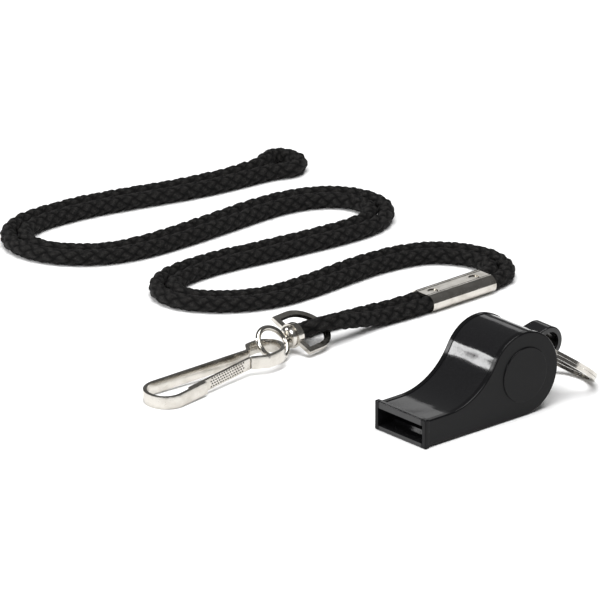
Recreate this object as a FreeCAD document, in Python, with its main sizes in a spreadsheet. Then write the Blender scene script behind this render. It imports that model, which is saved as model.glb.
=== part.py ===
"""Pea whistle for training, with its doubled neck cord and swivel hook.

Frame: +X from the mouthpiece towards the round barrel, +Y across the whistle, +Z up.
The origin is the middle of the mouth lip's under face, on the surface the whistle lies on.
Everything is in millimetres.
"""
import FreeCAD, Part
import math
import os

import Sketcher
from FreeCAD import Placement, Rotation, Vector

doc = FreeCAD.newDocument("training_whistle")

# ---------------------------------------------------------------- driving sizes
SIZES = [
    # whistle
    ("body_width", 20.0, "over the two side covers"),
    ("barrel_radius", 12.15, "side covers, round the barrel"),
    ("barrel_reach", 35.9, "middle of the lip to the barrel's axis"),
    ("mouth_top", 8.0, "top of the flat mouthpiece"),
    ("mouth_under", 0.5, "underside just behind the lip"),
    ("scoop_radius", 20.0, "hollow curve between mouthpiece and barrel"),
    ("cover_thick", 1.6, "side cover"),
    ("rim_proud", 0.2, "cover's rim over the band"),
    ("rim_round", 0.45, "rounding of the cover's rim"),
    ("band_wall", 1.4, "wall of the band round the barrel"),
    ("lip_length", 1.6, "mouth lip, along X"),
    ("lip_top", 8.5, "mouth lip, overall height"),
    ("lip_side", 0.35, "mouth lip, proud of each cover"),
    ("lip_round", 0.4, "rounding of the lip"),
    ("mouth_low", 1.35, "floor of the mouth opening"),
    ("mouth_high", 6.55, "roof of the mouth opening"),
    ("mouth_deep", 5.7, "depth of the mouth opening"),
    ("mouth_side", 0.6, "mouth opening, let into each cover"),
    ("windway_high", 1.35, "air slit under the block"),
    ("window_start", 18.4, "front edge of the sounding window"),
    ("window_long", 5.5, "sounding window, along X"),
    ("window_wide", 14.6, "sounding window, across"),
    ("block_lean", 3.0, "how far the block's rear face leans back"),
    ("block_fit", 0.05, "gap round the windway block"),
    ("disc_radius", 7.9, "raised disc on each cover"),
    ("disc_high", 0.35, "raised disc, height"),
    ("lug_width", 7.0, "ring lug, across"),
    ("lug_radius", 4.7, "ring lug, outside"),
    ("lug_wall", 1.5, "ring lug, round its hole"),
    ("lug_reach", 15.4, "barrel axis to the lug's hole"),
    ("lug_angle", 12.0, "lug above the barrel's middle, degrees"),
    ("pea_radius", 5.3, "cork pea"),
    ("pea_gap", 0.1, "pea to the chamber wall"),
    ("ring_radius", 11.2, "split ring, outside"),
    ("ring_wire", 1.5, "split ring wire, across the ring"),
    ("ring_turn", 0.92, "split ring, one turn's thickness"),
    ("ring_split", 0.1, "between the two turns"),
    ("ring_play", 0.2, "ring to the lug's hole"),
    # cord and ferrule
    ("cord_dia", 4.5, "braided cord"),
    ("cord_pitch", 4.66, "between the two strands side by side"),
    ("ferrule_length", 23.2, "crimped ferrule"),
    ("ferrule_tube", 5.0, "ferrule, each tube's outside"),
    ("ferrule_wall", 0.32, "ferrule sheet"),
    ("ferrule_x", 79.0, "ferrule's middle"),
    ("ferrule_y", 66.5, "ferrule's middle"),
    ("dent_apart", 15.2, "between the two punched dents"),
    ("dent_radius", 1.5, "punched dent"),
    ("dent_deep", 0.28, "punched dent"),
    # swivel
    ("bow_width", 15.6, "bow, outside"),
    ("bow_depth", 13.0, "bow, outside, from its flat bar"),
    ("bow_band", 1.7, "bow, width of its flat band"),
    ("bow_thick", 1.1, "bow, thickness of its flat band"),
    ("eye_radius", 3.5, "round eye in the bow's flat bar"),
    ("eye_proud", 0.2, "round eye, beyond the bar on each side"),
    ("swivel_x", 19.5, "middle of the bow's flat bar"),
    ("swivel_y", 67.3, "middle of the bow's flat bar"),
    ("swivel_high", 4.8, "swivel axis above the surface"),
    ("swivel_yaw", 6.0, "swivel axis from +X, degrees"),
    ("bow_roll", 24.5, "bow about the swivel axis, degrees"),
    ("loop_roll", 43.0, "wire loop about the swivel axis, degrees"),
    ("wire_radius", 0.8, "wire of the loop"),
    ("stem_radius", 0.9, "stem of the loop, in the collar and the eye"),
    ("loop_radius", 4.7, "wire loop, to the wire's middle"),
    ("head_radius", 1.5, "peened head of the wire"),
    ("head_thick", 0.9, "peened head"),
    ("collar_radius", 3.0, "domed collar"),
    ("collar_thick", 1.5, "domed collar"),
    ("pin_fit", 0.05, "running gap round the wire"),
    # hook
    ("strip_thick", 1.1, "hook strip"),
    ("strip_high", 3.5, "hook strip"),
    ("curl_radius", 4.95, "hook's eye, to the strip's middle"),
    ("hook_x", 7.85, "middle of the hook's eye"),
    ("hook_y", 64.5, "middle of the hook's eye"),
    ("hook_reach", 43.1, "middle of the eye to the hook's end"),
    ("hook_side", 6.9, "middle line to the back of the hook"),
    ("neck_side", 2.05, "middle line to the back at the neck"),
    ("nose_side", 6.2, "middle line to the nose corner"),
    ("nose_tip_x", 27.1, "eye to the nose's tip"),
    ("nose_tip_y", 4.7, "middle line to the nose's tip"),
    ("hook_yaw", 2.2, "hook from +X, degrees"),
    ("eye_lift", 2.1, "hook's eye end above the surface"),
    ("gate_thick", 0.9, "spring gate"),
    ("gate_high", 3.3, "spring gate"),
    ("gate_root_x", 7.8, "eye to the gate's root"),
    ("gate_root_y", 1.9, "middle line to the gate's root"),
    ("gate_tip_x", 32.8, "eye to the gate's tip"),
    ("gate_gap", 0.05, "gate to nose and to the curl's end"),
]

sizes_sheet = doc.addObject("Spreadsheet::Sheet", "Sizes")
places_sheet = doc.addObject("Spreadsheet::Sheet", "Places")
values = {}
home_sheet = {}


def write_cells(sheet, rows):
    """Put plain numbers with aliases into a sheet, and keep them for the code below."""
    for row, (alias, number, note) in enumerate(rows, start=1):
        sheet.set(f"A{row}", note)
        sheet.set(f"B{row}", f"{number:.9f}")
        sheet.setAlias(f"B{row}", alias)
        values[alias] = number
        home_sheet[alias] = sheet.Name


def size(alias):
    return values[alias]


def cell(alias):
    return f"{home_sheet[alias]}.{alias}"


write_cells(sizes_sheet, SIZES)
doc.recompute()


# ---------------------------------------------------------------- worked-out places
def underside_angle():
    """Slope of the underside: from behind the lip, tangent to the barrel."""
    along = size("barrel_reach") - size("lip_length") / 2
    up = size("barrel_radius") - size("mouth_under")
    reach = math.hypot(along, up)
    return math.atan2(up, along) - math.asin(size("barrel_radius") / reach)


def underside_height(x, inset):
    """Height of the underside line, moved inwards by inset, at x."""
    slope = underside_angle()
    radius = size("barrel_radius") - inset
    foot_x = size("barrel_reach") + radius * math.sin(slope)
    foot_z = size("barrel_radius") - radius * math.cos(slope)
    return foot_z + (x - foot_x) * math.tan(slope)


def scoop_centre_x():
    """Where the scoop's centre lies so that it meets the barrel and the flat top."""
    reach = size("barrel_radius") + size("scoop_radius")
    drop = size("mouth_top") + size("scoop_radius") - size("barrel_radius")
    return size("barrel_reach") - math.sqrt(reach ** 2 - drop ** 2)


def ring_slope():
    """Angle at which the split ring leans from the lug down to the surface."""
    middle = size("ring_radius") - size("ring_wire") / 2
    long_arm = 2 * middle + size("ring_wire") / 2 - ring_inset()
    stack = size("ring_turn") + size("ring_split") / 2
    short_arm = stack + ring_drop()
    height = lug_centre().z - 0.03
    return (math.asin(height / math.hypot(long_arm, short_arm))
            - math.atan2(short_arm, long_arm))


def ring_inset():
    """Half of how far the ring's curve moves across the lug's width."""
    middle = size("ring_radius") - size("ring_wire") / 2
    half = size("lug_width") / 2
    return (middle - math.sqrt(middle ** 2 - half ** 2)) / 2


def ring_drop():
    """How far the ring's wire hangs below the middle of the lug's hole."""
    room = size("lug_radius") - size("lug_wall") - size("ring_play")
    across = size("ring_wire") / 2 + ring_inset()
    stack = size("ring_turn") + size("ring_split") / 2
    return math.sqrt(room ** 2 - across ** 2) - stack


def lug_centre():
    angle = math.radians(size("lug_angle"))
    return Vector(
        size("barrel_reach") + size("lug_reach") * math.cos(angle), 0,
        size("barrel_radius") + size("lug_reach") * math.sin(angle))


shell = size("rim_proud") + size("band_wall")
scoop_z = size("mouth_top") + size("scoop_radius")
half_lip = size("lip_length") / 2
lug = lug_centre()
window_end = size("window_start") + size("window_long")
windway_roof = underside_height(size("window_start"), shell) + size("windway_high")
block_inset = shell + size("block_fit")
block_rear_x = size("window_start") + size("block_lean")
block_scoop = size("scoop_radius") + block_inset

PLACES = [
    ("lip_front", -half_lip, "front of the lip"),
    ("lip_rear", half_lip, "rear of the lip"),
    ("surface", 0.0, "what the whistle lies on"),
    ("lug_hole", size("lug_radius") - size("lug_wall"), "lug's hole radius"),
    ("mouth_front", -half_lip - 1, "mouth cut starts ahead of the lip"),
    ("mouth_back", size("mouth_deep") - half_lip, "block's front face"),
    ("band_width", size("body_width") - 2 * size("cover_thick"), "band, across"),
    ("block_width", size("body_width") - 2 * size("cover_thick")
     - 2 * size("block_fit"), "block, across"),
    ("cover_outside", size("body_width") / 2, "cover's outer face"),
    ("window_end", window_end, "labium edge"),
    ("window_left", -size("window_wide") / 2, "window side"),
    ("window_right", size("window_wide") / 2, "window side"),
    ("window_cut", 3.0, "window cut goes up through the wall"),
    ("windway_roof", windway_roof, "block's under face"),
    ("scoop_x", scoop_centre_x(), "scoop's centre"),
    ("scoop_z", scoop_z, "scoop's centre"),
    ("block_rear_x", block_rear_x, "block's rear face, top"),
    ("block_scoop", block_scoop, "block's curved top"),
    ("lug_x", lug.x, "lug's hole"),
    ("lug_z", lug.z, "lug's hole"),
    ("chamber_radius", size("barrel_radius") - shell, "chamber"),
    ("pea_z", size("barrel_radius") - (size("barrel_radius") - shell
     - size("pea_gap") - size("pea_radius")), "pea's centre"),
    ("ring_inner", size("ring_radius") - size("ring_wire"), "split ring, inside"),
    ("ring_stack", 2 * size("ring_turn") + size("ring_split"), "both turns"),
    ("pin_hole", size("stem_radius") + size("pin_fit"), "bow's eye"),
]
for inset, name in ((0.0, "cover"), (size("rim_proud"), "band"), (shell, "cavity")):
    front = {"cover": 0.0, "band": 0.0, "cavity": size("mouth_deep") - half_lip}[name]
    PLACES += [
        (f"{name}_barrel", size("barrel_radius") - inset, "barrel radius"),
        (f"{name}_scoop", size("scoop_radius") + inset, "scoop radius"),
        (f"{name}_top", size("mouth_top") - inset, "flat top"),
        (f"{name}_front", front, "front"),
        (f"{name}_under", underside_height(front, inset), "underside at the front"),
    ]
write_cells(places_sheet, PLACES)
doc.recompute()


# ---------------------------------------------------------------- sketch helpers
def new_body(label):
    body = doc.addObject("PartDesign::Body", label)
    body.Label = label
    return body


def sketch_on(body, role, name, offset=0.0):
    """A sketch on one of the body's own origin planes, moved along its normal."""
    plane = [f for f in body.Origin.OriginFeatures if f.Role == role][0]
    sketch = body.newObject("Sketcher::SketchObject", name)
    sketch.AttachmentSupport = [(plane, "")]
    sketch.MapMode = "FlatFace"
    sketch.AttachmentOffset = Placement(Vector(0, 0, offset), Rotation())
    return sketch


def drive(sketch, kind, alias, *where):
    """A dimension whose value is a cell."""
    number = sketch.addConstraint(Sketcher.Constraint(kind, *where, size(alias)))
    sketch.setExpression(f"Constraints[{number}]", cell(alias))


def tie(sketch, kind, *where):
    sketch.addConstraint(Sketcher.Constraint(kind, *where))


def rectangle(sketch, left, right, low, high):
    x0, x1, y0, y1 = (size(alias) for alias in (left, right, low, high))
    corners = [Vector(x0, y0), Vector(x1, y0), Vector(x1, y1), Vector(x0, y1)]
    for number in range(4):
        sketch.addGeometry(
            Part.LineSegment(corners[number], corners[(number + 1) % 4]), False)
    for number in range(4):
        tie(sketch, "Coincident", number, 2, (number + 1) % 4, 1)
    for number in (0, 2):
        tie(sketch, "Horizontal", number)
    for number in (1, 3):
        tie(sketch, "Vertical", number)
    drive(sketch, "DistanceX", left, -1, 1, 0, 1)
    drive(sketch, "DistanceY", low, -1, 1, 0, 1)
    drive(sketch, "DistanceX", right, -1, 1, 2, 1)
    drive(sketch, "DistanceY", high, -1, 1, 2, 1)


def circle(sketch, radius, x=0.0, y=0.0, x_cell=None, y_cell=None):
    """A circle of a cell's radius, at a point whose places may be cells too."""
    number = sketch.addGeometry(
        Part.Circle(Vector(x, y), Vector(0, 0, 1), size(radius)), False)
    drive(sketch, "Radius", radius, number)
    if x_cell:
        drive(sketch, "DistanceX", x_cell, -1, 1, number, 3)
        drive(sketch, "DistanceY", y_cell, -1, 1, number, 3)
    elif x == 0 and y == 0:
        tie(sketch, "Coincident", number, 3, -1, 1)


def arc(centre, radius, start, end):
    """Anticlockwise arc between two angles in radians."""
    return Part.ArcOfCircle(Part.Circle(centre, Vector(0, 0, 1), radius), start, end)


def outline(sketch, shapes):
    """A closed run of lines and arcs, end to end, kept where it is drawn."""
    first = sketch.GeometryCount
    for shape in shapes:
        sketch.addGeometry(shape, False)
    for number in range(first, first + len(shapes)):
        tie(sketch, "Block", number)


def pad(body, sketch, length, middle=False, reverse=False):
    feature = body.newObject("PartDesign::Pad", sketch.Name + "_pad")
    feature.Profile = sketch
    feature.Length = size(length)
    feature.setExpression("Length", cell(length))
    feature.Midplane = middle
    feature.Reversed = reverse
    sketch.Visibility = False
    doc.recompute()
    return feature


def pocket(body, sketch, length, middle=False, reverse=False):
    """A cut that must take something away."""
    before = body.Shape.Volume
    feature = body.newObject("PartDesign::Pocket", sketch.Name + "_cut")
    feature.Profile = sketch
    feature.Length = size(length)
    feature.setExpression("Length", cell(length))
    feature.Midplane = middle
    feature.Reversed = reverse
    doc.recompute()
    if feature.Shape.Volume > before - 1e-6:
        raise RuntimeError(f"{feature.Name} cuts nothing")
    return feature


def fillet(body, radius, wanted):
    """Round the edges of the body's tip whose middle passes the test."""
    base = body.Tip
    names = []
    for number, edge in enumerate(base.Shape.Edges, start=1):
        middle = edge.valueAt((edge.FirstParameter + edge.LastParameter) / 2)
        if wanted(edge, middle):
            names.append(f"Edge{number}")
    feature = body.newObject("PartDesign::Fillet", "round")
    feature.Base = (base, names)
    feature.Radius = size(radius)
    feature.setExpression("Radius", cell(radius))
    doc.recompute()
    return feature


def near(a, b, by=1e-4):
    return abs(a - b) < by


def is_circle(edge, radius):
    """Whether the edge is part of a circle of this radius."""
    try:
        return near(edge.Curve.Radius, radius)
    except (AttributeError, TypeError):
        return False


# ---------------------------------------------------------------- whistle outline
def whistle_outline(sketch, name):
    """Underside, barrel, scoop, flat top and front, all tangent where they meet."""
    barrel = Vector(size("barrel_reach"), size("barrel_radius"))
    scoop = Vector(size("scoop_x"), size("scoop_z"))
    barrel_r = size(f"{name}_barrel")
    scoop_r = size(f"{name}_scoop")
    front = size(f"{name}_front")
    slope = underside_angle()
    foot = barrel + Vector(barrel_r * math.sin(slope), -barrel_r * math.cos(slope))
    to_scoop = (scoop - barrel).normalize()
    join = math.atan2(to_scoop.y, to_scoop.x)
    top_start = Vector(scoop.x, size(f"{name}_top"))
    top_end = Vector(front, size(f"{name}_top"))
    under = Vector(front, size(f"{name}_under"))
    for shape in (
            Part.LineSegment(under, foot),
            arc(barrel, barrel_r, slope - math.pi / 2, join),
            arc(scoop, scoop_r, -math.pi / 2, join - math.pi),
            Part.LineSegment(top_start, top_end),
            Part.LineSegment(top_end, under)):
        sketch.addGeometry(shape, False)
    tie(sketch, "Tangent", 0, 2, 1, 1)
    tie(sketch, "Tangent", 1, 2, 2, 2)
    tie(sketch, "Tangent", 2, 1, 3, 1)
    tie(sketch, "Coincident", 3, 2, 4, 1)
    tie(sketch, "Coincident", 4, 2, 0, 1)
    tie(sketch, "Horizontal", 3)
    tie(sketch, "Vertical", 4)
    drive(sketch, "DistanceX", "barrel_reach", -1, 1, 1, 3)
    drive(sketch, "DistanceY", "barrel_radius", -1, 1, 1, 3)
    drive(sketch, "Radius", f"{name}_barrel", 1)
    drive(sketch, "Radius", f"{name}_scoop", 2)
    drive(sketch, "DistanceY", f"{name}_top", -1, 1, 3, 1)
    drive(sketch, "DistanceX", f"{name}_front", -1, 1, 4, 1)
    drive(sketch, "DistanceY", f"{name}_under", -1, 1, 0, 1)


# ---------------------------------------------------------------- band
def make_band():
    """The middle of the whistle: walls round the chamber, window, lip bars and lug."""
    body = new_body("body_band")
    sketch = sketch_on(body, "XZ_Plane", "band_profile")
    whistle_outline(sketch, "band")
    pad(body, sketch, "band_width", middle=True)

    sketch = sketch_on(body, "XZ_Plane", "band_lip")
    rectangle(sketch, "lip_front", "lip_rear", "surface", "lip_top")
    pad(body, sketch, "band_width", middle=True)

    sketch = sketch_on(body, "XZ_Plane", "lug_outline")
    angle = math.radians(size("lug_angle"))
    along = Vector(math.cos(angle), math.sin(angle))
    across = Vector(-along.y, along.x) * size("lug_radius")
    root = (Vector(size("barrel_reach"), size("barrel_radius"))
            + along * (size("chamber_radius") + size("band_wall") / 2))
    tip = Vector(lug.x, lug.z)
    outline(sketch, [
        Part.LineSegment(root - across, tip - across),
        arc(tip, size("lug_radius"), angle - math.pi / 2, angle + math.pi / 2),
        Part.LineSegment(tip + across, root + across),
        Part.LineSegment(root + across, root - across)])
    pad(body, sketch, "lug_width", middle=True)

    sketch = sketch_on(body, "XZ_Plane", "band_cavity")
    whistle_outline(sketch, "cavity")
    pocket(body, sketch, "body_width", middle=True)

    sketch = sketch_on(body, "XZ_Plane", "mouth_opening")
    rectangle(sketch, "mouth_front", "mouth_back", "mouth_low", "mouth_high")
    pocket(body, sketch, "body_width", middle=True)

    sketch = sketch_on(body, "XZ_Plane", "lug_eye")
    circle(sketch, "lug_hole", lug.x, lug.z, "lug_x", "lug_z")
    pocket(body, sketch, "body_width", middle=True)

    sketch = sketch_on(body, "XY_Plane", "window")
    rectangle(sketch, "window_start", "window_end", "window_left", "window_right")
    pocket(body, sketch, "window_cut", reverse=True)

    sketch = sketch_on(body, "XZ_Plane", "labium")
    edge = size("window_end")
    ramp = 4.0
    outline(sketch, [
        Part.LineSegment(Vector(edge - 0.1, -0.1), Vector(edge + ramp, -0.1)),
        Part.LineSegment(Vector(edge + ramp, -0.1),
                         Vector(edge - 0.1, underside_height(edge, shell) - 0.3)),
        Part.LineSegment(Vector(edge - 0.1, underside_height(edge, shell) - 0.3),
                         Vector(edge - 0.1, -0.1))])
    pocket(body, sketch, "window_wide", middle=True)

    fillet(body, "lip_round", lambda edge, middle: (
        near(abs(middle.x), half_lip)
        and (near(middle.z, 0) or near(middle.z, size("lip_top")))))
    fillet(body, "lip_round", lambda edge, middle: (
        near(abs(middle.y), size("lug_width") / 2)
        and is_circle(edge, size("lug_radius"))))
    return body


# ---------------------------------------------------------------- side covers
def make_cover(label, side):
    """A side plate with a rounded rim, the lip's end and a raised disc; side is +1 or -1."""
    body = new_body(label)
    away = side > 0
    inner = size("cover_outside") - size("cover_thick")

    sketch = sketch_on(body, "XZ_Plane", label + "_profile", -side * inner)
    whistle_outline(sketch, "cover")
    pad(body, sketch, "cover_thick", reverse=away)
    fillet(body, "rim_round", lambda edge, middle: (
        near(abs(middle.y), size("cover_outside"))
        and not near(middle.x, size("cover_front"))))

    sketch = sketch_on(body, "XZ_Plane", label + "_lip", -side * inner)
    rectangle(sketch, "lip_front", "lip_rear", "surface", "lip_top")
    pad(body, sketch, "lip_end", reverse=away)
    outside = size("cover_outside") + size("lip_side")
    fillet(body, "lip_round", lambda edge, middle: (
        near(abs(middle.x), half_lip)
        and (near(middle.z, 0) or near(middle.z, size("lip_top"))
             or near(abs(middle.y), outside))
        or near(abs(middle.y), outside)))

    sketch = sketch_on(body, "XZ_Plane", label + "_mouth", -side * inner)
    rectangle(sketch, "mouth_front", "mouth_back", "mouth_low", "mouth_high")
    pocket(body, sketch, "mouth_side", reverse=not away)

    sketch = sketch_on(body, "XZ_Plane", label + "_disc",
                       -side * size("cover_outside"))
    circle(sketch, "disc_radius", size("barrel_reach"), size("barrel_radius"),
           "barrel_reach", "barrel_radius")
    pad(body, sketch, "disc_high", reverse=away)
    fillet(body, "disc_round", lambda edge, middle: (
        near(abs(middle.y), size("cover_outside") + size("disc_high"))
        and is_circle(edge, size("disc_radius"))))
    return body


# ---------------------------------------------------------------- windway block
def make_block():
    """The insert that narrows the mouthpiece to a thin air slit along the underside."""
    body = new_body("windway_block")
    sketch = sketch_on(body, "XZ_Plane", "block_profile")
    front = size("mouth_back")
    roof = size("mouth_top") - block_inset
    centre = Vector(size("scoop_x"), size("scoop_z"))
    rear_low = Vector(size("window_start"), size("windway_roof"))
    lean = block_rear_x - centre.x
    rear_high = Vector(block_rear_x, centre.y - math.sqrt(block_scoop ** 2 - lean ** 2))
    top = Vector(centre.x, roof)
    start = Vector(front, roof)
    foot = Vector(front, size("windway_roof"))
    to_rear = rear_high - centre
    for shape in (
            Part.LineSegment(foot, rear_low),
            Part.LineSegment(rear_low, rear_high),
            arc(centre, block_scoop, -math.pi / 2, math.atan2(to_rear.y, to_rear.x)),
            Part.LineSegment(top, start),
            Part.LineSegment(start, foot)):
        sketch.addGeometry(shape, False)
    tie(sketch, "Coincident", 0, 2, 1, 1)
    tie(sketch, "Coincident", 1, 2, 2, 2)
    tie(sketch, "Tangent", 2, 1, 3, 1)
    tie(sketch, "Coincident", 3, 2, 4, 1)
    tie(sketch, "Coincident", 4, 2, 0, 1)
    tie(sketch, "Horizontal", 0)
    tie(sketch, "Horizontal", 3)
    tie(sketch, "Vertical", 4)
    drive(sketch, "DistanceX", "scoop_x", -1, 1, 2, 3)
    drive(sketch, "DistanceY", "scoop_z", -1, 1, 2, 3)
    drive(sketch, "Radius", "block_scoop", 2)
    drive(sketch, "DistanceX", "mouth_back", -1, 1, 4, 1)
    drive(sketch, "DistanceY", "windway_roof", -1, 1, 0, 1)
    drive(sketch, "DistanceX", "window_start", -1, 1, 1, 1)
    drive(sketch, "DistanceX", "block_rear_x", -1, 1, 1, 2)
    pad(body, sketch, "block_width", middle=True)
    return body


# ---------------------------------------------------------------- pea and ring
def make_pea():
    pea = doc.addObject("Part::Sphere", "cork_pea")
    pea.Label = "cork_pea"
    pea.setExpression("Radius", cell("pea_radius"))
    pea.setExpression("Placement.Base.x", cell("barrel_reach"))
    pea.setExpression("Placement.Base.z", cell("pea_z"))
    return pea


def make_split_ring():
    """One flat wire wound twice: two turns side by side, joined where the wire crosses."""
    body = new_body("split_ring")
    sketch = sketch_on(body, "XY_Plane", "ring_plan")
    circle(sketch, "ring_radius")
    circle(sketch, "ring_inner")
    pad(body, sketch, "ring_stack")

    crossing = math.radians(14)
    outside = size("ring_radius") + 0.2
    inside = size("ring_inner") - 0.2
    low = Vector(math.cos(crossing), math.sin(crossing))
    high = Vector(math.cos(crossing), -math.sin(crossing))
    sketch = sketch_on(body, "XY_Plane", "ring_split_plan",
                       size("ring_turn") + size("ring_split"))
    outline(sketch, [
        arc(Vector(), outside, crossing, 2 * math.pi - crossing),
        Part.LineSegment(high * outside, high * inside),
        arc(Vector(), inside, crossing, 2 * math.pi - crossing),
        Part.LineSegment(low * inside, low * outside)])
    pocket(body, sketch, "ring_split")

    for name, start, turn_side in (("low_end", 0.0, -1), ("high_end", 1.0, 1)):
        offset = size("ring_turn") * (1 + start) + size("ring_split") * start
        sketch = sketch_on(body, "XY_Plane", name, offset)
        gap_low = turn_side * crossing * 0.75 - 0.02
        gap_high = gap_low + 0.04
        corners = []
        for angle, radius in ((gap_low, inside), (gap_low, outside),
                              (gap_high, outside), (gap_high, inside)):
            corners.append(Vector(radius * math.cos(angle), radius * math.sin(angle)))
        outline(sketch, [Part.LineSegment(corners[n], corners[(n + 1) % 4])
                         for n in range(4)])
        pocket(body, sketch, "ring_turn")

    slope = ring_slope()
    along = Vector(math.cos(slope), 0, -math.sin(slope))
    upward = Vector(math.sin(slope), 0, math.cos(slope))
    wire = lug - along * ring_inset() - upward * ring_drop()
    middle = size("ring_radius") - size("ring_wire") / 2
    centre = wire + along * middle - upward * (size("ring_stack") / 2)
    body.Placement = Placement(
        centre, Rotation(Vector(0, 1, 0), math.degrees(slope))
        * Rotation(Vector(0, 0, 1), 62))
    return body


# ---------------------------------------------------------------- ferrule
def make_ferrule():
    """A double tube of thin sheet, crimped on the two strands and punched twice."""
    body = new_body("ferrule")
    half_pitch = size("cord_pitch") / 2
    radius = size("ferrule_tube") / 2
    valley = radius * 0.97
    lean = math.asin(valley / radius)
    left = Vector(-half_pitch, 0)
    right = Vector(half_pitch, 0)
    flat = half_pitch - radius * math.cos(lean)
    sketch = sketch_on(body, "YZ_Plane", "ferrule_section", -size("ferrule_length") / 2)
    outline(sketch, [
        arc(right, radius, lean - math.pi, math.pi - lean),
        Part.LineSegment(Vector(flat, valley), Vector(-flat, valley)),
        arc(left, radius, lean, 2 * math.pi - lean),
        Part.LineSegment(Vector(-flat, -valley), Vector(flat, -valley))])
    for centre in (left, right):
        circle(sketch, "ferrule_bore", centre.x, centre.y)
    pad(body, sketch, "ferrule_length")
    sketch = sketch_on(body, "XY_Plane", "dents", valley)
    for side in (-1, 1):
        circle(sketch, "dent_radius", side * size("dent_apart") / 2 - 0.5, -0.4)
    pocket(body, sketch, "dent_deep")
    body.Placement = Placement(
        Vector(size("ferrule_x"), size("ferrule_y"), radius), Rotation())
    return body


# ---------------------------------------------------------------- swivel
def swivel_turn():
    return Rotation(Vector(0, 0, 1), size("swivel_yaw"))


def swivel_point(along):
    """A point on the swivel axis, measured from the bow's flat bar."""
    start = Vector(size("swivel_x"), size("swivel_y"), size("swivel_high"))
    return start + swivel_turn().multVec(Vector(along, 0, 0))


def bow_outline(inset):
    """The bow's D: a straight bar and a half round, moved inwards by inset."""
    half = size("bow_width") / 2 - inset
    round_x = size("bow_depth") - size("bow_width") / 2
    return [
        Part.LineSegment(Vector(inset, half), Vector(inset, -half)),
        Part.LineSegment(Vector(inset, -half), Vector(round_x, -half)),
        arc(Vector(round_x, 0), half, -math.pi / 2, math.pi / 2),
        Part.LineSegment(Vector(round_x, half), Vector(inset, half))]


def make_bow():
    """The flat D-shaped bow that holds the cord, with the eye that the wire turns in."""
    body = new_body("swivel_bow")
    sketch = sketch_on(body, "XY_Plane", "bow_plan")
    outline(sketch, bow_outline(0.0))
    outline(sketch, bow_outline(size("bow_band")))
    pad(body, sketch, "bow_thick", middle=True)
    sketch = sketch_on(body, "YZ_Plane", "bow_eye", -size("eye_proud"))
    circle(sketch, "eye_radius")
    pad(body, sketch, "eye_thick")
    sketch = sketch_on(body, "YZ_Plane", "bow_pin_hole")
    circle(sketch, "pin_hole")
    pocket(body, sketch, "bow_width", middle=True)
    body.Placement = Placement(
        swivel_point(0),
        swivel_turn() * Rotation(Vector(1, 0, 0), size("bow_roll")))
    return body


def make_loop():
    """The wire loop, its stem through collar and bow, and its peened head."""
    ring = doc.addObject("Part::Torus", "loop_ring")
    ring.setExpression("Radius1", cell("loop_radius"))
    ring.setExpression("Radius2", cell("wire_radius"))
    ring.Placement = Placement(
        Vector(size("loop_x"), 0, 0), Rotation(Vector(1, 0, 0), 90))
    stem = doc.addObject("Part::Cylinder", "loop_stem")
    stem.setExpression("Radius", cell("stem_radius"))
    stem.setExpression("Height", cell("stem_length"))
    stem.Placement = Placement(
        Vector(size("stem_start"), 0, 0), Rotation(Vector(0, 1, 0), 90))
    head = doc.addObject("Part::Cylinder", "loop_head")
    head.setExpression("Radius", cell("head_radius"))
    head.setExpression("Height", cell("head_thick"))
    head.Placement = Placement(
        Vector(size("head_start"), 0, 0), Rotation(Vector(0, 1, 0), 90))
    whole = doc.addObject("Part::MultiFuse", "swivel_loop")
    whole.Shapes = [ring, stem, head]
    whole.Label = "swivel_loop"
    whole.Placement = Placement(
        swivel_point(0),
        swivel_turn() * Rotation(Vector(1, 0, 0), -size("loop_roll")))
    return whole


def make_collar():
    """A small domed washer on the stem, between the loop and the bow's eye."""
    body = new_body("swivel_collar")
    sketch = sketch_on(body, "XY_Plane", "collar_half")
    hole = size("pin_hole")
    thick = size("collar_thick")
    radius = size("collar_radius")
    crown = 0.35 * thick
    outline(sketch, [
        Part.LineSegment(Vector(0, hole), Vector(0, radius)),
        Part.LineSegment(Vector(0, radius), Vector(-crown, radius)),
        Part.Arc(Vector(-crown, radius),
                 Vector(-0.82 * thick, 0.72 * radius),
                 Vector(-thick, 0.45 * radius)),
        Part.LineSegment(Vector(-thick, 0.45 * radius), Vector(-thick, hole)),
        Part.LineSegment(Vector(-thick, hole), Vector(0, hole))])
    turned = body.newObject("PartDesign::Revolution", "collar_turned")
    turned.Profile = sketch
    turned.ReferenceAxis = (sketch, ["H_Axis"])
    turned.Angle = 360
    doc.recompute()
    body.Placement = Placement(swivel_point(size("collar_start")), swivel_turn())
    return body


# ---------------------------------------------------------------- hook
def rounded_run(corners, radii):
    """Lines and tangent arcs through corners, as (kind, data) pieces of a middle line."""
    pieces = []
    at = corners[0]
    for number, radius in enumerate(radii, start=1):
        corner = corners[number]
        back = (corners[number - 1] - corner).normalize()
        ahead = (corners[number + 1] - corner).normalize()
        turn = math.pi - back.getAngle(ahead)
        reach = radius * math.tan(turn / 2)
        start = corner + back * reach
        end = corner + ahead * reach
        left = back.cross(ahead).z < 0
        side = Vector(0, 0, 1).cross(back * -1) * (1 if left else -1)
        pieces.append(("line", at, start))
        pieces.append(("arc", start + side * radius, radius, start, end, left))
        at = end
    pieces.append(("line", at, corners[-1]))
    return pieces


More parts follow.
